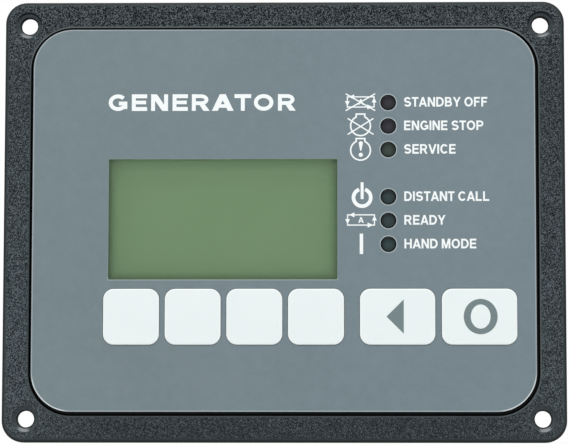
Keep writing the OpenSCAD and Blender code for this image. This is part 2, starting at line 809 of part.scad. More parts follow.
// Tub with rounded rear edges whose rim seats in the flange, with the screw columns inside
module rear_housing() {
    color(black_plastic) stand() difference() {
        union() {
            difference() {
                mirror([0, 0, 1])
                    crowned_slab(housing_w, housing_h, housing_r, -rim_top, -housing_rear, housing_round);
                slab(inside_w, inside_h, inside_r, floor_inside, rim_top + cut);
            }
            at(housing_screw_places) post(column_d, housing_rear + housing_wall / 2, -boss_l - column_gap);
        }
        at(housing_screw_places) {
            post(screw_d + 2 * screw_gap, housing_rear - cut, 0);
            post(screw_head_d + 2 * screw_gap, housing_rear - cut, screw_seat);
        }
        translate([0, 0, housing_rear - cut]) linear_extrude(housing_wall + 2 * cut) {
            translate(harness_place) socket_outline(harness_columns, shroud_wall + socket_gap);
            translate(remote_place) socket_outline(remote_columns, shroud_wall + socket_gap);
        }
    }
}

module housing_seal() {
    color(rubber) stand() ring([housing_w, housing_h, housing_r], [inside_w, inside_h, inside_r],
        rim_top, rim_groove);
}

module panel_gasket() {
    color(rubber) stand() difference() {
        ring([panel_w - 2 * gasket_inset, panel_h - 2 * gasket_inset, panel_r - gasket_inset],
            [housing_w + 2 * gasket_gap, housing_h + 2 * gasket_gap, housing_r + gasket_gap], -gasket_t, 0);
        at(hole_places) post(hole_d + 2 * gasket_hole_gap, -gasket_t - cut, cut);
    }
}

module housing_screws() {
    color(steel) stand() at(housing_screw_places)
        pan_screw(screw_d, screw_head_d, screw_head_h, screw_seat, screw_bite - boss_l - cut);
}

module board_screws() {
    color(steel) stand() at(board_screw_places)
        pan_screw(board_screw_d, board_screw_head_d, board_screw_head_h, board_back,
            board_front + board_screw_bite - cut);
}

module display_screws() {
    color(steel) stand() at(lcd_screw_places)
        pan_screw(board_screw_d, board_screw_head_d, board_screw_head_h, lcd_board_back,
            lcd_back + board_screw_bite - cut);
}

front_bezel();
graphic_overlay();
display_window();
lcd_gasket();
lcd_frame();
lcd_glass();
lcd_backlight();
lcd_board();
lcd_header();
main_board();
processor();
output_driver();
crystal();
power_coil();
socket(harness_place, harness_columns);  // harness_socket
socket_pins(harness_place, harness_columns);  // harness_pins
socket(remote_place, remote_columns);  // remote_socket
socket_pins(remote_place, remote_columns);  // remote_pins
rear_housing();
housing_seal();
panel_gasket();
housing_screws();
board_screws();
display_screws();
for (i = [0 : key_count - 1])
    key(i);
for (i = [0 : lamp_count - 1])
    indicator_lens(i);
for (i = [0 : lamp_count - 1])
    led(i);
for (i = [0 : key_count - 1])
    key_switch(i);
for (i = [0 : key_count - 1])
    switch_plunger(i);
for (i = [0 : len(capacitor_places) - 1])
    filter_capacitor(i);
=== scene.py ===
"""Looks of a generator set's operator panel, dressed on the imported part.

The row frame is in metres: the face looks along -Y and +Z is up. What is drawn on the face, and the
distances that the materials use, are in panel millimetres (x to the right, y up, z towards the
operator). Drawn pieces are stood up by STAND.
"""
import json
import math

import bmesh
import bpy
from mathutils import Matrix, Vector


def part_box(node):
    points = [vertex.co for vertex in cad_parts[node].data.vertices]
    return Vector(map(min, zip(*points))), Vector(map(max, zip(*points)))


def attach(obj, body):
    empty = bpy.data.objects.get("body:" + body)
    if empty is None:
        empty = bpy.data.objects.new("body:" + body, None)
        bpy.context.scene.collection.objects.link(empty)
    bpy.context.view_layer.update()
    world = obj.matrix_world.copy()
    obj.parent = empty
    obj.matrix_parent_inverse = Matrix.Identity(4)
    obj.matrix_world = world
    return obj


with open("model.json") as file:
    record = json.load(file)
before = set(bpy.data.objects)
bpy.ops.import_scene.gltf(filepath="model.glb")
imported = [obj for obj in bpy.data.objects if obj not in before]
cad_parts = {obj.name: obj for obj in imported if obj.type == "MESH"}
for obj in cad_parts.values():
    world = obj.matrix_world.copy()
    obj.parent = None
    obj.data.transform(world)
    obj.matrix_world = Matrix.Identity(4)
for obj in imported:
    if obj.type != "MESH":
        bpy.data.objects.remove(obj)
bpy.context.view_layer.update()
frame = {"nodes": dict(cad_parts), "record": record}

MM = 0.001
STAND = Matrix.Rotation(math.pi / 2, 4, "X") @ Matrix.Scale(MM, 4)
PANEL = "panel"


def on_face(node):
    """A node's middle and its size on the face, in panel millimetres."""
    lo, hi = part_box(node)
    middle = ((lo.x + hi.x) / 2 / MM, (lo.z + hi.z) / 2 / MM)
    return middle, ((hi.x - lo.x) / MM, (hi.z - lo.z) / MM)


# The photograph's camera, solved from the panel's outline, keys, lamps and holes
IMAGE_WIDTH_PX = 569
FOCAL_PX = 3000.0
SENSOR_MM = 36.0
TILT, YAW, ROLL = (math.radians(a) for a in (-6.0666, -1.3438, -0.0833))
CAMERA_PLACE_MM = Vector((-0.0591, 0.0669, -1055.1942))

# Sizes of the face that the looks follow: a rounded one has its width, height and corner radius
FRAME_SIZE = (*on_face("front_bezel")[1], 7.5)
OPENING_SIZE = (178.3, 136.6, 14.75)
FILM_PLACE, film_extent = on_face("graphic_overlay")
FILM_SIZE = (*film_extent, 13.8)
MOAT_W = 0.55
WINDOW_SIZE = (80.2, 42.4)
WINDOW_PLACE = (-21.45, 0.45)
WINDOW_R = 0.2
LAMP_HOLE_D = 5.6
DOT_PITCH = 0.55

# Mounting holes, and the ring on their countersinks where a painted glint catches the light
bolts = next(mount["dims"] for mount in frame["record"]["mounts"] if mount["name"] == "panel_bolts")
HOLE_PLACE = (bolts["spacing_x_mm"] / 2, bolts["spacing_y_mm"] / 2)
BORE_R = bolts["hole_r_mm"]
SINK_R = 4.7
PAINTED_GLINT_R = 4.05
LIGHT_PLACE_M = (0.0, 0.0, 0.4)

# Print and cut-edge lines: heights of their low prisms, then widths of their strokes
PRINT_THICK = 0.02
PRINT_SUNK = 0.005
STROKE_STEP, STROKE_STEPS = 0.002, 9
EDGE_W, FINE_EDGE_W = 0.4, 0.3
FINE_W, CROSS_W, ENGINE_W = 0.42, 0.45, 0.53
RING_W, STEM_W, BAR_W = 1.3, 1.05, 1.2


def linear(r, g, b):
    """Scene colour of an sRGB triple from 0 to 255."""
    def channel(v):
        v /= 255
        return v / 12.92 if v <= 0.04045 else ((v + 0.055) / 1.055) ** 2.4
    return (channel(r), channel(g), channel(b), 1.0)


class Look:
    """One procedural material, put together node by node round a Principled shader."""

    def __init__(self, name, roughness=0.5, specular=0.5, metallic=0.0):
        self.material = bpy.data.materials.new(name)
        self.material.use_nodes = True
        self.tree = self.material.node_tree
        self.shader = self.tree.nodes["Principled BSDF"]
        self.set("Roughness", roughness)
        self.set("Specular IOR Level", specular)
        self.set("Metallic", metallic)
        coordinates = self.add("ShaderNodeTexCoord")
        self.place, self.share = coordinates.outputs["Object"], coordinates.outputs["Generated"]

    def add(self, kind, **settings):
        node = self.tree.nodes.new(kind)
        for key, value in settings.items():
            setattr(node, key, value)
        return node

    def feed(self, socket, value):
        if isinstance(value, bpy.types.NodeSocket):
            self.tree.links.new(value, socket)
        else:
            socket.default_value = value

    def set(self, name, value):
        self.feed(self.shader.inputs[name], value)

    def math(self, operation, *values):
        node = self.add("ShaderNodeMath", operation=operation)
        for socket, value in zip(node.inputs, values):
            self.feed(socket, value)
        return node.outputs[0]

    def chain(self, operation, first, *others):
        for other in others:
            first = self.math(operation, first, other)
        return first

    def total(self, *values):
        return self.chain("ADD", *values)

    def product(self, *values):
        return self.chain("MULTIPLY", *values)

    def away(self, value, middle):
        """How far value lies from middle, to either side."""
        return self.math("ABSOLUTE", self.math("SUBTRACT", value, middle))

    def vector(self, operation, *values):
        node = self.add("ShaderNodeVectorMath", operation=operation)
        for socket, value in zip(node.inputs, values):
            self.feed(socket, value)
        return node.outputs["Value" if operation in ("LENGTH", "DOT_PRODUCT") else "Vector"]

    def axes(self, vector):
        node = self.add("ShaderNodeSeparateXYZ")
        self.feed(node.inputs[0], vector)
        return node.outputs

    def noise(self, scale, detail=2.0, rough=0.5, place=None):
        node = self.add("ShaderNodeTexNoise")
        self.feed(node.inputs["Vector"], place or self.place)
        for name, value in (("Scale", scale), ("Detail", detail), ("Roughness", rough)):
            self.feed(node.inputs[name], value)
        return node.outputs[0]

    def cells(self, scale, place=None):
        node = self.add("ShaderNodeTexVoronoi", feature="F1")
        self.feed(node.inputs["Vector"], place or self.place)
        self.feed(node.inputs["Scale"], scale)
        return node.outputs["Distance"]

    def stretch(self, factors):
        """The object's own coordinates, scaled by axis: a low factor draws a pattern out along it."""
        return self.vector("MULTIPLY", self.place, factors)

    def span(self, value, low, high, to_low=0.0, to_high=1.0):
        """value eased from low..high to to_low..to_high, and held outside."""
        node = self.add("ShaderNodeMapRange", interpolation_type="SMOOTHSTEP")
        ends = {"From Min": low, "From Max": high, "To Min": to_low, "To Max": to_high}
        for name, number in ends.items():
            self.feed(node.inputs[name], number)
        self.feed(node.inputs["Value"], value)
        return node.outputs["Result"]

    def fade(self, value, low, high):
        """1 below low, eased to 0 above high."""
        return self.span(value, low, high, 1.0, 0.0)

    def ramp(self, value, *stops):
        """Colours by value: each stop is (position, colour)."""
        node = self.add("ShaderNodeValToRGB")
        marks = node.color_ramp.elements
        while len(marks) < len(stops):
            marks.new(0.5)
        for mark, (position, colour) in zip(marks, stops):
            mark.position, mark.color = position, colour
        self.feed(node.inputs[0], value)
        return node.outputs["Color"]

    def mix(self, share, a, b):
        node = self.add("ShaderNodeMix", data_type="RGBA")
        for socket, value in ((node.inputs[0], share), (node.inputs[6], a), (node.inputs[7], b)):
            self.feed(socket, value)
        return node.outputs[2]

    def bump(self, height, depth):
        """Relief of that height map; depth in millimetres."""
        node = self.add("ShaderNodeBump")
        self.feed(node.inputs["Height"], height)
        self.feed(node.inputs["Distance"], depth * MM)
        self.set("Normal", node.outputs["Normal"])

    def flat(self):
        """Places on the face in panel millimetres, with the depth taken out."""
        return self.stretch((1 / MM, 0.0, 1 / MM))

    def face(self):
        """Panel millimetres across and up the face."""
        x, _, z = self.axes(self.flat())
        return x, z

    def past_arcs(self, size, centre=(0.0, 0.0)):
        """How far each place lies past the middles of a rounded rectangle's corner arcs."""
        width, height, r = size
        off = self.vector("ABSOLUTE", self.vector("SUBTRACT", self.flat(), (centre[0], 0.0, centre[1])))
        return self.vector("SUBTRACT", off, (width / 2 - r, 0.0, height / 2 - r))

    def outward(self, size, centre=(0.0, 0.0)):
        """Distance outside a rounded rectangle of the face, negative within it."""
        past = self.past_arcs(size, centre)
        outside = self.vector("LENGTH", self.vector("MAXIMUM", past, (0.0, 0.0, 0.0)))
        x, _, z = self.axes(past)
        inside = self.math("MINIMUM", self.math("MAXIMUM", x, z), 0.0)
        return self.math("SUBTRACT", self.total(outside, inside), size[2])

    def inward(self, size, centre=(0.0, 0.0)):
        """Distance within a rounded rectangle of the face, negative outside it."""
        return self.product(self.outward(size, centre), -1.0)

    def from_holes(self):
        """Distance from the axis of the nearest mounting hole."""
        hole = (HOLE_PLACE[0], 0.0, HOLE_PLACE[1])
        off = self.vector("SUBTRACT", self.vector("ABSOLUTE", self.flat()), hole)
        return self.vector("LENGTH", off)

    def from_axis(self, middle):
        """Distance from an axis square to the face, as a share of the piece's box."""
        off = self.vector("SUBTRACT", self.share, middle)
        return self.vector("LENGTH", self.vector("MULTIPLY", off, (1.0, 0.0, 1.0)))

    def normal(self):
        return self.add("ShaderNodeNewGeometry").outputs["Normal"]

    def facing(self):
        """How squarely a surface faces the operator, from -1 to 1."""
        return self.product(self.axes(self.normal())[1], -1.0)


def plastic(name, dark, light, grain, depth, roughness, specular=0.4):
    """Moulded plastic: fine relief, and colour that wanders a little with it."""
    look = Look(name, specular=specular)
    fine = look.noise(grain, 3.0, 0.6)
    broad = look.noise(45.0, 2.0)
    tone = look.total(look.product(fine, 0.6), look.product(broad, 0.4))
    look.set("Base Color", look.ramp(tone, (0.3, dark), (0.7, light)))
    look.set("Roughness", look.span(fine, 0.3, 0.7, roughness - 0.06, roughness + 0.08))
    look.bump(fine, depth)
    return look.material


def metal(name, dark, light, roughness, lay=(1.0, 1.0, 1.0)):
    """Plated metal with a faint drawn or rolled lay."""
    look = Look(name, metallic=1.0)
    streaks = look.noise(2600.0, 4.0, 0.65, look.stretch(lay))
    cloud = look.noise(160.0, 2.0)
    look.set("Base Color", look.mix(cloud, dark, light))
    look.set("Roughness", look.span(streaks, 0.3, 0.7, roughness - 0.09, roughness + 0.12))
    look.bump(streaks, 0.004)
    return look.material


def foam(name, dark, light, cell, depth):
    """Closed-cell foam or soft rubber with small pores."""
    look = Look(name, roughness=0.9, specular=0.2)
    pores = look.cells(cell)
    tone = look.total(look.product(pores, 0.7), look.product(look.noise(180.0), 0.4))
    look.set("Base Color", look.ramp(tone, (0.15, dark), (0.75, light)))
    look.bump(pores, depth)
    return look.material


def bezel_look():
    """Black moulding: sand-like grain on the frame's front and smooth edges, with painted light and
    shade:
    a painted glint, a little glossier, in the countersinks, painted highlights round the opening, and a
    groove painted near black."""
    look = Look("bezel_grain")
    x, z = look.face()
    from_edge = look.inward(FRAME_SIZE)
    from_opening = look.outward(OPENING_SIZE)
    from_hole = look.from_holes()

    # Grain, with painted light: harder towards the top and softer along the bottom, as grazing light from
    # above brings it out; paler at the sides
    front = look.span(look.facing(), 0.72, 0.95)
    grained = look.product(look.span(from_edge, 0.5, 1.8), look.span(from_opening, 0.2, 0.8), front)
    sand = look.noise(3300.0, 0.5, 0.5)
    grazing_light_contrast = look.total(look.span(z, -80.0, -50.0, 0.58, 0.84), look.span(z, 50.0, 75.0, 0.0, 0.7))
    tone = look.total(
        look.span(look.math("ABSOLUTE", x), 60.0, 95.0, 0.46, 0.56),
        look.span(z, -75.0, 75.0, 0.04, -0.06),
        look.span(x, -92.0, -60.0, 0.04, 0.0),
    )
    specks = look.math("MULTIPLY_ADD", look.span(sand, 0.29, 0.71, -0.5, 0.5), grazing_light_contrast, tone)
    dark, middle, pale = linear(6, 10, 12), linear(38, 46, 50), linear(90, 99, 103)
    rough = look.ramp(specks, (0.0, dark), (0.5, middle), (1.0, pale))

    # Smooth edges: dark round the outside; round the opening a painted highlight, brighter on the right
    # and brightest along its top
    edge = look.mix(look.span(from_edge, 0.2, 1.4), linear(24, 29, 30), linear(58, 66, 68))
    opening_highlight = look.mix(look.span(x, 70.0, 88.0), linear(64, 72, 74), linear(86, 94, 96))
    opening_highlight = look.mix(look.span(z, 45.0, 66.0), opening_highlight, linear(106, 113, 115))
    edge = look.mix(look.span(from_opening, 0.7, 1.4), opening_highlight, edge)
    outer = look.mix(grained, edge, rough)

    # Countersinks, with painted light and shade: a painted glint on the side that looks up to the light,
    # painted shade under the upper rims, the cone painted paler against the shade of its recess, and the
    # bore painted near black where it lies in shade
    to_light = look.vector("NORMALIZE", look.vector("SUBTRACT", LIGHT_PLACE_M, look.place))
    lit = look.vector("DOT_PRODUCT", look.normal(), to_light)
    glint = look.product(look.span(lit, 0.56, 0.7), look.fade(look.away(from_hole, PAINTED_GLINT_R), 0.3, 0.9))
    under_rim = look.fade(look.away(from_hole, SINK_R - 0.25), 0.1, 0.5)
    shade = look.product(look.fade(lit, -0.5, 0.1), under_rim, look.span(z, -50.0, 50.0, 0.1, 0.9))
    cone = look.mix(shade, look.mix(0.55, rough, linear(84, 92, 95)), linear(8, 11, 13))
    cone = look.mix(glint, cone, linear(150, 156, 158))
    bore = look.fade(from_hole, BORE_R + 0.15, BORE_R + 0.5)
    sunk = look.fade(from_hole, SINK_R - 0.1, SINK_R + 0.1)
    outer = look.mix(sunk, outer, look.mix(bore, cone, linear(3, 3, 3)))

    # The groove round the film, painted near black as shade, with a faint painted highlight on the lip of
    # its inner side
    lip = look.fade(look.away(from_opening, -MOAT_W), 0.03, 0.14)
    groove = look.mix(lip, linear(3, 4, 4), linear(10, 12, 13))
    look.set("Base Color", look.mix(look.span(from_opening, 0.02, 0.25), groove, outer))
    look.set("Specular IOR Level", look.math("MULTIPLY_ADD", look.product(sunk, glint), 0.4, 0.1))
    look.set("Roughness", look.math("MULTIPLY_ADD", specks, 0.08, 0.55))
    look.bump(look.product(sand, grained), 0.16)
    return look.material


def film_look():
    """Satin grey film, printed from behind: a trace greener to the left and bluer to the right."""
    look = Look("overlay_satin", specular=0.3)
    across = look.span(look.face()[0], -88.0, 88.0)
    fine = look.noise(2400.0, 2.0)
    cloud = look.noise(24.0, 3.0)
    blotch = look.noise(330.0, 1.0)
    shade = look.math("MULTIPLY_ADD", look.total(blotch, cloud), 0.2, look.product(fine, 0.6))
    shade = look.span(shade, 0.3, 0.7)
    left = look.mix(shade, linear(107, 122, 127), linear(118, 133, 138))
    right = look.mix(shade, linear(107, 122, 129), linear(118, 133, 140))
    look.set("Base Color", look.mix(across, left, right))
    look.set("Roughness", look.span(fine, 0.3, 0.7, 0.44, 0.56))
    look.bump(fine, 0.006)
    return look.material


def film_edge_highlight_look(name, dark, light):
    """The film's bare cut edge with a painted highlight: paler than its face and palest round its lower
    corners.
    """
    look = Look(name, roughness=0.4, specular=0.3)
    speckle = look.noise(900.0, 2.0)
    straight = look.mix(speckle, dark, light)
    upper = look.mix(speckle, linear(148, 158, 160), linear(166, 175, 177))
    lower = look.mix(speckle, linear(190, 200, 202), linear(214, 222, 223))
    curved = look.mix(look.span(look.face()[1], -30.0, 30.0), lower, upper)
    x, _, z = look.axes(look.past_arcs(FILM_SIZE, FILM_PLACE))
    in_corner = look.span(look.math("MINIMUM", x, z), 0.0, 4.0)
    look.set("Base Color", look.mix(in_corner, straight, curved))
    return look.material


def window_edge_highlight_look():
    """The film's cut edge at the window with a painted highlight, palest along the lower side, which
    faces the light.
    """
    look = Look("overlay_window_edge_highlight", roughness=0.4, specular=0.3)
    speckle = look.noise(900.0, 2.0)
    low_side = look.fade(look.face()[1], -20.5, -19.5)
    upper = look.mix(speckle, linear(112, 128, 124), linear(124, 140, 136))
    lower = look.mix(speckle, linear(142, 160, 153), linear(156, 172, 166))
    look.set("Base Color", look.mix(low_side, upper, lower))
    return look.material


def display_look():
    """Unlit display: grey-green, with painted shade darkening it towards its edges and painted light
    along its top against the window rim's shadow, and the faint rows of its dots.
    """
    look = Look("display_green", specular=0.25)
    x, z = look.face()
    # Painted shade towards the edges; its box reaches up past the window, so the top, shaded by the
    # window's rim, darkens less
    shaded = (WINDOW_SIZE[0] + 1.4, WINDOW_SIZE[1] + 9.0, 0.5)
    from_edge = look.inward(shaded, (WINDOW_PLACE[0] - 0.3, WINDOW_PLACE[1] + 4.2))
    half_pitch = DOT_PITCH / 2
    above_zero = 1000.0
    steps = [look.math("PINGPONG", look.total(v, above_zero), half_pitch) for v in (x, z)]
    lines = look.span(look.math("MAXIMUM", *steps), 0.8 * half_pitch, half_pitch, 0.0, 0.05)
    cloud = look.noise(30.0, 2.0)
    middle = look.mix(cloud, linear(102, 133, 91), linear(108, 138, 96))
    # Painted light along the top, lifting the shadow that the window's upper edge casts
    top = WINDOW_PLACE[1] + WINDOW_SIZE[1] / 2
    painted_light_near_top = look.span(z, top - 8.0, top + 1.0)
    middle = look.mix(painted_light_near_top, middle, linear(124, 158, 111))
    rim = look.mix(painted_light_near_top, linear(77, 106, 67), linear(98, 132, 88))
    green = look.mix(look.span(from_edge, -0.5, 4.2), rim, middle)
    look.set("Base Color", look.mix(lines, green, linear(78, 106, 70)))
    look.set("Roughness", look.span(look.noise(1500.0), 0.3, 0.7, 0.3, 0.4))
    return look.material


def pane_look():
    """Clear acrylic pane with a trace of haze."""
    look = Look("window_clear", roughness=0.12, specular=0.3)
    look.set("Base Color", look.mix(look.noise(60.0), linear(150, 172, 152), linear(164, 184, 166)))
    look.set("Alpha", 0.06)
    return look.material


def key_look():
    """Satin white key cap with a painted highlight round its rim."""
    look = Look("key_white", specular=0.4)
    fine = look.noise(1700.0, 2.0)
    cloud = look.noise(60.0, 2.0)
    face = look.mix(cloud, linear(228, 237, 236), linear(233, 241, 240))
    # Painted highlight where the rounded rim turns away from the operator
    rim = look.fade(look.facing(), 0.90, 0.999)
    look.set("Base Color", look.mix(rim, face, linear(250, 253, 252)))
    look.set("Roughness", look.span(fine, 0.3, 0.7, 0.34, 0.46))
    look.bump(fine, 0.005)
    return look.material


def lens_look(name, rim, body, painted_glow):
    """Smoked light-pipe lens: near black at its rim, with a painted highlight a trace below its middle
    where the pipe shows through.
    """
    look = Look(name, specular=0.22)
    swirl = look.product(look.math("SUBTRACT", look.noise(700.0, 2.0), 0.5), 0.14)
    radius = look.total(look.from_axis((0.5, 0.5, 0.46)), swirl)
    # Painted highlight in the middle, for the pipe seen through the lens
    look.set("Base Color", look.ramp(radius, (0.0, painted_glow), (0.2, body), (0.36, rim)))
    look.set("Roughness", look.span(look.noise(1200.0), 0.3, 0.7, 0.18, 0.3))
    return look.material


def board_look():
    """Circuit board: green solder mask over a pattern of copper lines."""
    look = Look("board_mask", specular=0.45)
    lays = ((1.0, 1.0, 0.12), (0.12, 1.0, 1.0))
    patterns = [look.noise(95.0, 0.0, 0.5, look.stretch(lay)) for lay in lays]
    bands = [look.math("PINGPONG", look.product(pattern, 9.0), 0.5) for pattern in patterns]
    copper = look.fade(look.math("MINIMUM", *bands), 0.1, 0.16)
    weave = look.noise(1400.0, 2.0)
    mask = look.mix(weave, linear(16, 68, 40), linear(22, 80, 48))
    look.set("Base Color", look.mix(copper, mask, linear(46, 116, 66)))
    look.set("Roughness", look.span(copper, 0.0, 1.0, 0.42, 0.3))
    look.bump(copper, 0.03)
    return look.material


def chip_look():
    """Chip package: matt epoxy with a fine moulded skin, tinned leads round its edge."""
    look = Look("chip_epoxy", specular=0.4)
    x, _, z = look.axes(look.share)
    off_middle = look.math("MAXIMUM", look.away(x, 0.5), look.away(z, 0.5))
    lead = look.math("GREATER_THAN", off_middle, 0.445)
    fine = look.noise(2200.0, 3.0)
    epoxy = look.mix(fine, linear(26, 27, 29), linear(40, 41, 44))
    look.set("Base Color", look.mix(lead, epoxy, linear(186, 188, 190)))
    look.set("Metallic", lead)
    look.set("Roughness", look.span(lead, 0.0, 1.0, 0.62, 0.32))
    look.bump(fine, 0.01)
    return look.material


def capacitor_look():
    """Sleeved capacitor: dark sleeve with a pale stripe down one side, bare aluminium end."""
    look = Look("capacitor_sleeve", specular=0.5)
    x, y, _ = look.axes(look.share)
    stripe = look.math("GREATER_THAN", x, 0.9)
    at_middle = look.math("LESS_THAN", look.from_axis((0.5, 0.5, 0.5)), 0.4)
    can = look.product(look.math("GREATER_THAN", y, 0.985), at_middle)
    cloud = look.noise(300.0, 2.0)
    sleeve = look.mix(cloud, linear(24, 32, 54), linear(32, 42, 66))
    sleeve = look.mix(stripe, sleeve, linear(170, 176, 186))
    look.set("Base Color", look.mix(can, sleeve, linear(196, 198, 200)))
    look.set("Metallic", can)
    look.set("Roughness", look.span(cloud, 0.3, 0.7, 0.3, 0.42))
    return look.material


def led_look(name, deep, pale):
    """Tinted diode: clear epoxy, deeper in colour towards its foot."""
    look = Look(name, roughness=0.15, specular=0.5)
    depth = look.axes(look.share)[1]
    swirl = look.product(look.noise(800.0, 2.0), 0.3)
    look.set("Base Color", look.ramp(look.total(depth, swirl), (0.2, pale), (1.0, deep)))
    look.set("Coat Weight", 0.3)
    return look.material


def light_guide_look():
    """White light guide printed with rows of dots that grow away from the lamps."""
    look = Look("light_guide_white", roughness=0.35, specular=0.4)
    dots = look.cells(900.0, look.stretch((1.0, 0.0, 1.0)))
    grow = look.span(look.axes(look.share)[0], 0.0, 1.0, 0.2, 0.45)
    printed = look.math("LESS_THAN", dots, grow)
    look.set("Base Color", look.mix(printed, linear(206, 214, 212), linear(240, 243, 242)))
    return look.material


def ink_look(name, dark, light):
    """Screen ink with the slight mottle of the mesh."""
    look = Look(name, specular=0.25)
    mottle = look.noise(1500.0, 2.0)
    look.set("Base Color", look.mix(mottle, dark, light))
    look.set("Roughness", look.span(mottle, 0.3, 0.7, 0.45, 0.6))
    return look.material


# One look for each material slot; lay is the way a metal's drawn lines run
ALONG_X, ALONG_Y, ALONG_Z = (0.06, 1.0, 1.0), (1.0, 0.08, 1.0), (1.0, 1.0, 0.06)
LOOKS = {
    "bezel_plastic": bezel_look(),
    "overlay_film": film_look(),
    "window_pane": pane_look(),
    "display_glass": display_look(),
    "key_plastic": key_look(),
    "lens_red": lens_look(
        "lens_smoked_red", rim=linear(5, 5, 8), body=linear(37, 38, 45), painted_glow=linear(49, 48, 54)),
    "lens_amber": lens_look(
        "lens_smoked_amber", rim=linear(5, 8, 9), body=linear(46, 58, 52), painted_glow=linear(58, 68, 58)),
    "lens_green": lens_look(
        "lens_smoked_green", rim=linear(3, 8, 10), body=linear(35, 52, 53), painted_glow=linear(48, 64, 64)),
    "foam": foam(
        "foam_black", linear(20, 21, 22), linear(46, 48, 50), cell=1500.0, depth=0.12),
    "seal_rubber": foam(
        "seal_black", linear(22, 22, 23), linear(40, 41, 42), cell=3200.0, depth=0.02),
    "housing_plastic": plastic(
        "housing_black", linear(28, 31, 33), linear(64, 68, 71), grain=1300.0, depth=0.1, roughness=0.55),
    "socket_plastic": plastic(
        "socket_grey", linear(60, 63, 66), linear(82, 86, 89), grain=2200.0, depth=0.02, roughness=0.48),
    "pin_metal": metal(
        "pin_tinned", linear(196, 198, 198), linear(216, 217, 215), roughness=0.28, lay=ALONG_Y),
    "screw_steel": metal(
        "screw_zinc", linear(176, 180, 186), linear(206, 208, 212), roughness=0.32),
    "display_frame_steel": metal(
        "frame_steel", linear(150, 153, 157), linear(178, 181, 184), roughness=0.4, lay=ALONG_X),
    "light_guide": light_guide_look(),
    "board_laminate": board_look(),
    "header_plastic": plastic(
        "header_black", linear(26, 27, 28), linear(40, 41, 43), grain=2400.0, depth=0.01, roughness=0.45),
    "chip_body": chip_look(),
    "crystal_can": metal(
        "crystal_steel", linear(190, 192, 194), linear(214, 215, 216), roughness=0.24, lay=ALONG_Z),
    "coil_ferrite": plastic(
        "coil_ferrite", linear(38, 39, 41), linear(64, 66, 69), grain=1800.0, depth=0.03, roughness=0.6),
    "capacitor_sleeve": capacitor_look(),
    "led_red": led_look("led_red", deep=linear(126, 12, 14), pale=linear(206, 54, 50)),
    "led_amber": led_look("led_amber", deep=linear(150, 78, 6), pale=linear(226, 150, 44)),
    "led_green": led_look("led_green", deep=linear(14, 96, 40), pale=linear(70, 176, 98)),
    "switch_body": plastic(
        "switch_black", linear(30, 31, 33), linear(46, 47, 50), grain=2600.0, depth=0.01, roughness=0.5),
    "switch_plunger": plastic(
        "plunger_cream", linear(214, 208, 192), linear(228, 223, 209),
        grain=2000.0, depth=0.01, roughness=0.45),
}
for node in frame["nodes"].values():
    node.material_slots[0].material = LOOKS[node.material_slots[0].material.name]


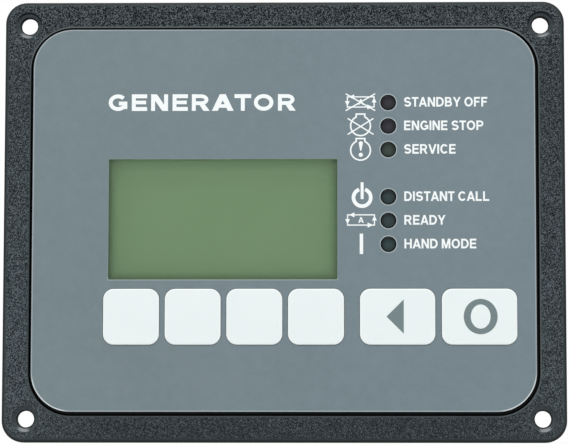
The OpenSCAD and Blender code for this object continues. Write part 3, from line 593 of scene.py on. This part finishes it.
class Sheet:
    """Thin printed or cut shapes on a flat surface: each shape is a low prism, a hair higher than the
    one drawn before it, so that crossing strokes never share a plane."""

    def __init__(self, name, level, look, slot, body=PANEL):
        self.name, self.level, self.look, self.slot, self.body = name, level, look, slot, body
        self.mesh = bmesh.new()
        self.drawn = 0

    def heights(self):
        top = self.level + PRINT_THICK + STROKE_STEP * (self.drawn % STROKE_STEPS)
        self.drawn += 1
        return self.level - PRINT_SUNK, top

    def rail(self, points, z):
        return [self.mesh.verts.new((x, y, z)) for x, y in points]

    def plate(self, points):
        """A filled outline, anticlockwise."""
        low, high = self.heights()
        feet, tops = self.rail(points, low), self.rail(points, high)
        self.mesh.faces.new(tops)
        self.mesh.faces.new(feet[::-1])
        for i in range(len(points)):
            j = (i + 1) % len(points)
            self.mesh.faces.new((feet[i], feet[j], tops[j], tops[i]))

    def band(self, left, right, closed):
        """The strip between two lines of as many points, left lying to the left as they run."""
        low, high = self.heights()
        left_low, left_high = self.rail(left, low), self.rail(left, high)
        right_low, right_high = self.rail(right, low), self.rail(right, high)
        count = len(left)
        for i in range(count if closed else count - 1):
            j = (i + 1) % count
            self.mesh.faces.new((left_high[i], right_high[i], right_high[j], left_high[j]))
            self.mesh.faces.new((left_low[j], right_low[j], right_low[i], left_low[i]))
            self.mesh.faces.new((right_low[i], right_low[j], right_high[j], right_high[i]))
            self.mesh.faces.new((left_low[j], left_low[i], left_high[i], left_high[j]))
        if not closed:
            self.mesh.faces.new((left_low[0], right_low[0], right_high[0], left_high[0]))
            self.mesh.faces.new((right_low[-1], left_low[-1], left_high[-1], right_high[-1]))

    def stroke(self, points, width, closed=False):
        """A line of even width along points, mitred at its corners."""
        sharpest_mitre = 0.3
        points = [Vector(p) for p in points]
        last = len(points) - 1
        left, right = [], []
        for i, p in enumerate(points):
            runs = []
            if closed or i > 0:
                runs.append((p - points[i - 1]).normalized())
            if closed or i < last:
                runs.append((points[(i + 1) % len(points)] - p).normalized())
            sides = [Vector((-run.y, run.x)) for run in runs]
            side = sum(sides, Vector((0.0, 0.0))).normalized()
            reach = side * (width / 2 / max(side.dot(sides[0]), sharpest_mitre))
            left.append(p + reach)
            right.append(p - reach)
        self.band(left, right, closed)

    def words(self, text, letters, left, low, cap, stretch=1.0):
        """Plain capitals of that height, from left on, set closer beside a letter with open sides."""
        for letter, following in zip(text, text[1:] + " "):
            if letter == " ":
                left += WORD_GAP * cap * stretch
                continue
            wide, shapes = letters[letter]
            for kind, points, *more in shapes:
                spots = [(left + x * cap * stretch, low + y * cap) for x, y in points]
                if kind == "plate":
                    self.plate(spots)
                else:
                    self.stroke(spots, more[0] * cap, kind == "loop")
            gap = LETTER_GAP - OPEN_TRIM * sum(side in OPEN_LETTERS for side in (letter, following))
            left += (wide + gap) * cap * stretch

    def finish(self):
        """Stands the shapes up as one piece that rides on its body."""
        merge_distance = 1e-4
        bmesh.ops.remove_doubles(self.mesh, verts=self.mesh.verts, dist=merge_distance)
        bmesh.ops.recalc_face_normals(self.mesh, faces=self.mesh.faces)
        self.mesh.transform(STAND)
        mesh = bpy.data.meshes.new(self.name)
        self.mesh.to_mesh(mesh)
        self.mesh.free()
        mesh.materials.append(self.look)
        piece = bpy.data.objects.new(self.name, mesh)
        bpy.context.scene.collection.objects.link(piece)
        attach(piece, self.body)


def arc(centre, r, start, end, count):
    """Points on a circle, or on an ellipse for a pair of radii, from start to end in degrees."""
    rx, ry = r if isinstance(r, tuple) else (r, r)
    angles = [math.radians(start + (end - start) * i / count) for i in range(count + 1)]
    return [(centre[0] + rx * math.cos(a), centre[1] + ry * math.sin(a)) for a in angles]


def full_circle(centre, r, count):
    return arc(centre, r, 0.0, 360.0, count)[:-1]


def rounded(centre, size, count):
    """A rounded rectangle's outline, anticlockwise."""
    width, height, r = size
    points = []
    for corner, (sx, sy) in enumerate(((1, 1), (-1, 1), (-1, -1), (1, -1))):
        middle = (centre[0] + sx * (width / 2 - r), centre[1] + sy * (height / 2 - r))
        points += arc(middle, r, 90.0 * corner, 90.0 * corner + 90.0, count)
    return points


def moved(points, place):
    return [(x + place[0], y + place[1]) for x, y in points]


def plain_capitals(stem):
    """Letters of even strokes, one unit high: for each its width and its strokes, loops and plates."""
    h, top = stem / 2, 1 - stem / 2
    slant_w, arm_w, leg_w = stem * 1.16, stem * 1.2, stem * 1.25

    def line(*points):
        return "stroke", points, stem

    def bar(y, start, end):
        return "stroke", [(start, y), (end, y)], stem * 0.92

    def upright(x):
        return "stroke", [(x, 0.0), (x, 1.0)], stem

    def bowl(x, low, high, reach):
        bend = arc((x, (low + high) / 2), (reach, (high - low) / 2), 90.0, -90.0, 16)
        return "stroke", [(h, high), *bend, (h, low)], stem * 0.94

    def round_stroke(middle, start, end):
        return "stroke", arc((middle, 0.5), (middle - h, 0.5 - h), start, end, 36), stem

    def plate(*points):
        return "plate", points

    def mirrored(wide, shape):
        return "plate", [(wide - x, y) for x, y in reversed(shape[1])]

    wide_a = 0.74 + slant_w
    slant = plate((0.0, 0.0), (slant_w, 0.0), (0.37 + slant_w, 1.0), (0.37, 1.0))
    drop = plate((0.0, 1.0), (0.37, 0.0), (0.37 + slant_w, 0.0), (slant_w, 1.0))
    arm = plate((0.0, 1.0), (0.46 - h, 0.36), (0.46 + h, 0.44), (arm_w, 1.0))
    inner = plate((0.04, 1.0), (0.49 - h, 0.0), (0.49 + h, 0.0), (0.04 + arm_w, 1.0))
    diagonal = plate((0.0, 1.0), (0.84 - leg_w, 0.0), (0.84, 0.0), (leg_w, 1.0))
    leg = plate((0.34, 0.44), (0.86 - leg_w, 0.0), (0.86, 0.0), (0.60, 0.44))
    belly = arc((0.38, 0.5), (0.48 - h, 0.5 - h), -90.0, 90.0, 24)
    oval = full_circle((0.48, 0.5), (0.48 - h, 0.5 - h), 48)
    curl = [*arc((0.40, (0.5 + top) / 2), (0.30, (top - 0.5) / 2), 22.0, 270.0, 28),
            *arc((0.40, (0.5 + h) / 2), (0.31, (0.5 - h) / 2), 90.0, -158.0, 28)[1:]]
    bowed = [upright(h), bowl(0.45, 0.46, top, 0.26)]
    return {
        "A": (wide_a, [slant, mirrored(wide_a, slant), bar(0.29, 0.2, wide_a - 0.2)]),
        "B": (0.82, [upright(h), bowl(0.42, 0.52, top, 0.22), bowl(0.45, h, 0.5, 0.27)]),
        "C": (0.88, [round_stroke(0.46, 40.0, 320.0)]),
        "D": (0.86, [("loop", [(h, h), *belly, (h, top)], stem)]),
        "E": (0.74, [line((0.74, top), (h, top), (h, h), (0.74, h)), bar(0.51, h, 0.69)]),
        "F": (0.70, [line((0.70, top), (h, top), (h, 0.0)), bar(0.5, h, 0.62)]),
        "G": (0.92, [round_stroke(0.46, 42.0, 322.0),
                     line((0.5, 0.45), (0.92 - h, 0.45), (0.92 - h, 0.12))]),
        "H": (0.84, [upright(h), upright(0.84 - h), bar(0.51, h, 0.84 - h)]),
        "I": (stem, [upright(h)]),
        "L": (0.70, [line((h, 1.0), (h, h), (0.70, h))]),
        "M": (0.98, [upright(h), upright(0.98 - h), inner, mirrored(0.98, inner)]),
        "N": (0.84, [upright(h), upright(0.84 - h), diagonal]),
        "O": (0.96, [("loop", oval, stem)]),
        "P": (0.80, bowed),
        "R": (0.86, [*bowed, leg]),
        "S": (0.80, [("stroke", curl, stem)]),
        "T": (0.78, [line((0.0, top), (0.78, top)), line((0.39, top), (0.39, 0.0))]),
        "V": (wide_a, [drop, mirrored(wide_a, drop)]),
        "Y": (0.92, [arm, mirrored(0.92, arm), line((0.46, 0.42), (0.46, 0.0))]),
    }


LETTERS, HEAVY_LETTERS = plain_capitals(0.19), plain_capitals(0.235)
LETTER_GAP, WORD_GAP = 0.16, 0.34
OPEN_LETTERS, OPEN_TRIM = "ATVY", 0.06

film_front = -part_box("graphic_overlay")[0].y / MM
key_top = -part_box("back_key")[0].y / MM
lamps = [on_face(f"indicator_lens_{i}")[0] for i in range(1, 7)]

# The film's cut edges, seen as a pale line: a painted highlight along the bare edge
cut_edge = film_edge_highlight_look("overlay_cut_edge_highlight", linear(142, 153, 158), linear(164, 174, 179))
edges = Sheet("film_edge_highlight_line", film_front, cut_edge, "overlay_film")
width, height, r = FILM_SIZE
edges.stroke(rounded(FILM_PLACE, (width - EDGE_W, height - EDGE_W, r - EDGE_W / 2), 24), EDGE_W, True)
edges.finish()
window_edge = Sheet("window_edge_highlight_line", film_front, window_edge_highlight_look(), "overlay_film")
width, height = (side + FINE_EDGE_W for side in WINDOW_SIZE)
window_edge.stroke(rounded(WINDOW_PLACE, (width, height, WINDOW_R), 4), FINE_EDGE_W, True)
window_edge.finish()
# Painted highlight rings round the lamp holes
lamp_edge = film_edge_highlight_look("overlay_lamp_edge_highlight", linear(158, 171, 175), linear(176, 188, 191))
lamp_edges = Sheet("lamp_edge_highlight_lines", film_front, lamp_edge, "overlay_film")
for lamp in lamps:
    lamp_edges.stroke(full_circle(lamp, (LAMP_HOLE_D + FINE_EDGE_W) / 2, 64), FINE_EDGE_W, True)
lamp_edges.finish()

# White print: a symbol to the left of each lamp
white_ink = ink_look("ink_white", linear(234, 240, 240), linear(246, 249, 249))
symbols = Sheet("lamp_symbols", film_front, white_ink, "overlay_film")


def beside(lamp, x, y):
    """A symbol's place, from its lamp's middle."""
    return lamp[0] + x, lamp[1] + y


def running_loop(place):
    """A box-shaped loop with four arrowheads, turning anticlockwise round a letter."""
    right, high = 4.7, 1.8
    left, low = -right, -high
    corners = [(right, high), (left, high), (left, low), (right, low)]
    symbols.stroke(moved(corners, place), FINE_W, True)
    heads = (
        [(-4.2, high), (-2.3, high - 0.9), (-2.3, high + 0.9)],
        [(left, -1.5), (left + 0.85, 0.3), (left - 0.85, 0.3)],
        [(4.2, low), (2.3, low + 0.9), (2.3, low - 0.9)],
        [(right, 1.6), (right - 0.85, -0.2), (right + 0.85, -0.2)],
    )
    for head in heads:
        symbols.plate(moved(head, place))
    symbols.words("A", LETTERS, place[0] - 0.95, place[1] - 1.0, 2.0)


def engine(place):
    """Engine outline: a round body with a short neck on top."""
    r, neck, top = 3.47, 1.52, 4.15
    shoulder = math.degrees(math.acos(neck / r))
    body = arc((0.0, 0.0), r, 180.0 - shoulder, 360.0 + shoulder, 56)
    symbols.stroke(moved([*body, (neck, top), (-neck, top)], place), ENGINE_W, True)


def crossing(place, half_w, half_h):
    """Two crossing strokes."""
    for sign in (1, -1):
        symbols.stroke(moved([(-half_w, -sign * half_h), (half_w, sign * half_h)], place), CROSS_W)


def attention(place):
    """A tapering stroke with a round head, over a dot."""
    r, foot_w = 0.74, 0.4
    head = arc((0.0, 2.45), r, 0.0, 180.0, 16)
    symbols.plate(moved([*head, (-foot_w / 2, -0.15), (foot_w / 2, -0.15)], place))
    symbols.plate(full_circle((place[0], place[1] - 1.6), r, 24))


def power(place):
    """A ring, open at the top round a stem."""
    r, gap_half_w, gap_r = 3.02, 1.03, 3.0
    half_gap = math.degrees(math.asin(gap_half_w / gap_r))
    symbols.stroke(arc(place, r, 90.0 + half_gap, 450.0 - half_gap, 56), RING_W)
    symbols.stroke(moved([(0.0, -0.54), (0.0, 5.4)], place), STEM_W)


running_loop(beside(lamps[0], -9.65, 0.2))
crossing(beside(lamps[0], -9.75, 0.12), 5.2, 3.0)
engine(beside(lamps[1], -9.73, 0.08))
crossing(beside(lamps[1], -9.7, -0.14), 4.55, 2.85)
engine(beside(lamps[2], -9.73, -0.25))
attention(beside(lamps[2], -9.65, -0.25))
power(beside(lamps[3], -9.2, -0.27))
running_loop(beside(lamps[4], -9.6, 0.18))
symbols.stroke([beside(lamps[5], -9.46, -3.45), beside(lamps[5], -9.46, 3.7)], BAR_W)
symbols.finish()

# White print: plain words to the right of each lamp and over the display
LABELS = ("STANDBY OFF", "ENGINE STOP", "SERVICE", "DISTANT CALL", "READY", "HAND MODE")
LABEL_OFFSET, LABEL_CAP, LABEL_STRETCH = (5.6, -1.5), 3.4, 0.88
labels = Sheet("lamp_labels", film_front, white_ink, "overlay_film")
for text, lamp in zip(LABELS, lamps):
    labels.words(text, LETTERS, *beside(lamp, *LABEL_OFFSET), LABEL_CAP, LABEL_STRETCH)
labels.finish()
TITLE_PLACE, TITLE_CAP, TITLE_STRETCH = (-62.0, 38.8), 5.9, 1.28
title = Sheet("panel_title", film_front, white_ink, "overlay_film")
title.words("GENERATOR", HEAVY_LETTERS, *TITLE_PLACE, TITLE_CAP, TITLE_STRETCH)
title.finish()

# Grey print on the two wide keys
grey_ink = ink_look("ink_grey", linear(108, 123, 125), linear(118, 133, 135))
ARROW = ((-3.9, 0.0), (2.13, -6.0), (2.13, 6.0))
arrow = Sheet("back_key_mark", key_top, grey_ink, "key_plastic", "back_key_body")
arrow.plate(moved(ARROW, on_face("back_key")[0]))
arrow.finish()
RING_SHIFT, RING_INNER, RING_OUTER = 0.35, (3.45, 4.22), (5.9, 6.18)
x, y = on_face("off_key")[0]
inner, outer = (full_circle((x + RING_SHIFT, y), radii, 80) for radii in (RING_INNER, RING_OUTER))
ring = Sheet("off_key_mark", key_top, grey_ink, "key_plastic", "off_key_body")
ring.band(inner, outer, True)
ring.finish()

# Floor
FLOOR_Z, FLOOR_HALF = -0.14, 4.0
floor_mesh = bpy.data.meshes.new("floor")
corners = [(sx * FLOOR_HALF, sy * FLOOR_HALF, FLOOR_Z) for sx, sy in ((-1, -1), (1, -1), (1, 1), (-1, 1))]
floor_mesh.from_pydata(corners, [], [(0, 1, 2, 3)])
floor = bpy.data.objects.new("floor", floor_mesh)
bpy.context.scene.collection.objects.link(floor)
floor_look = Look("floor_pale", roughness=0.9, specular=0.1)
paler = floor_look.mix(floor_look.noise(3.0), linear(236, 237, 238), linear(240, 241, 242))
floor_look.set("Base Color", paler)
floor_mesh.materials.append(floor_look.material)

# White surroundings: plain white to the camera and in reflections, dimmer as light on the part
AMBIENT, WHITE = 0.57, 1.0
world = bpy.data.worlds.new("surroundings")
bpy.context.scene.world = world
world.use_nodes = True
tree = world.node_tree
tree.nodes.clear()
rays = tree.nodes.new("ShaderNodeLightPath")
seen = rays.outputs["Is Camera Ray"]
for name in ("Is Glossy Ray", "Is Transmission Ray"):
    either = tree.nodes.new("ShaderNodeMath")
    either.operation = "MAXIMUM"
    tree.links.new(seen, either.inputs[0])
    tree.links.new(rays.outputs[name], either.inputs[1])
    seen = either.outputs[0]
blend = tree.nodes.new("ShaderNodeMixShader")
tree.links.new(seen, blend.inputs[0])
for slot, strength in ((1, AMBIENT), (2, WHITE)):
    sky = tree.nodes.new("ShaderNodeBackground")
    sky.inputs["Color"].default_value = (1.0, 1.0, 1.0, 1.0)
    sky.inputs["Strength"].default_value = strength
    tree.links.new(sky.outputs[0], blend.inputs[slot])
tree.links.new(blend.outputs[0], tree.nodes.new("ShaderNodeOutputWorld").inputs["Surface"])


def soft_box(name, place, side, energy):
    """A square, flat lamp that looks at the panel's middle."""
    data = bpy.data.lights.new(name, "AREA")
    data.shape, data.size, data.energy = "SQUARE", side, energy
    lamp = bpy.data.objects.new(name, data)
    lamp.location = place
    lamp.rotation_euler = (-lamp.location).to_track_quat("-Z", "Y").to_euler()
    bpy.context.scene.collection.objects.link(lamp)


# Two soft lamps, above the face and above the back
soft_box("front_box", (-0.1, -1.2, 1.45), side=1.3, energy=18.6)
soft_box("top_box", (0.0, 0.3, 1.3), side=0.8, energy=6.0)

# Camera
turn = Matrix.Rotation(ROLL, 3, "Z") @ Matrix.Rotation(TILT, 3, "X") @ Matrix.Rotation(YAW, 3, "Y")
upright = Matrix.Rotation(math.pi / 2, 3, "X")
spot = upright @ (turn.transposed() @ -CAMERA_PLACE_MM) * MM
camera_data = bpy.data.cameras.new("camera")
camera_data.sensor_fit, camera_data.sensor_width = "HORIZONTAL", SENSOR_MM
camera_data.lens = FOCAL_PX / IMAGE_WIDTH_PX * SENSOR_MM
camera_data.clip_start = 0.01
camera = bpy.data.objects.new("camera", camera_data)
camera.matrix_world = Matrix.Translation(spot) @ (upright @ turn.transposed()).to_4x4()
bpy.context.scene.collection.objects.link(camera)
bpy.context.scene.camera = camera

bpy.context.scene.view_settings.view_transform = "Standard"
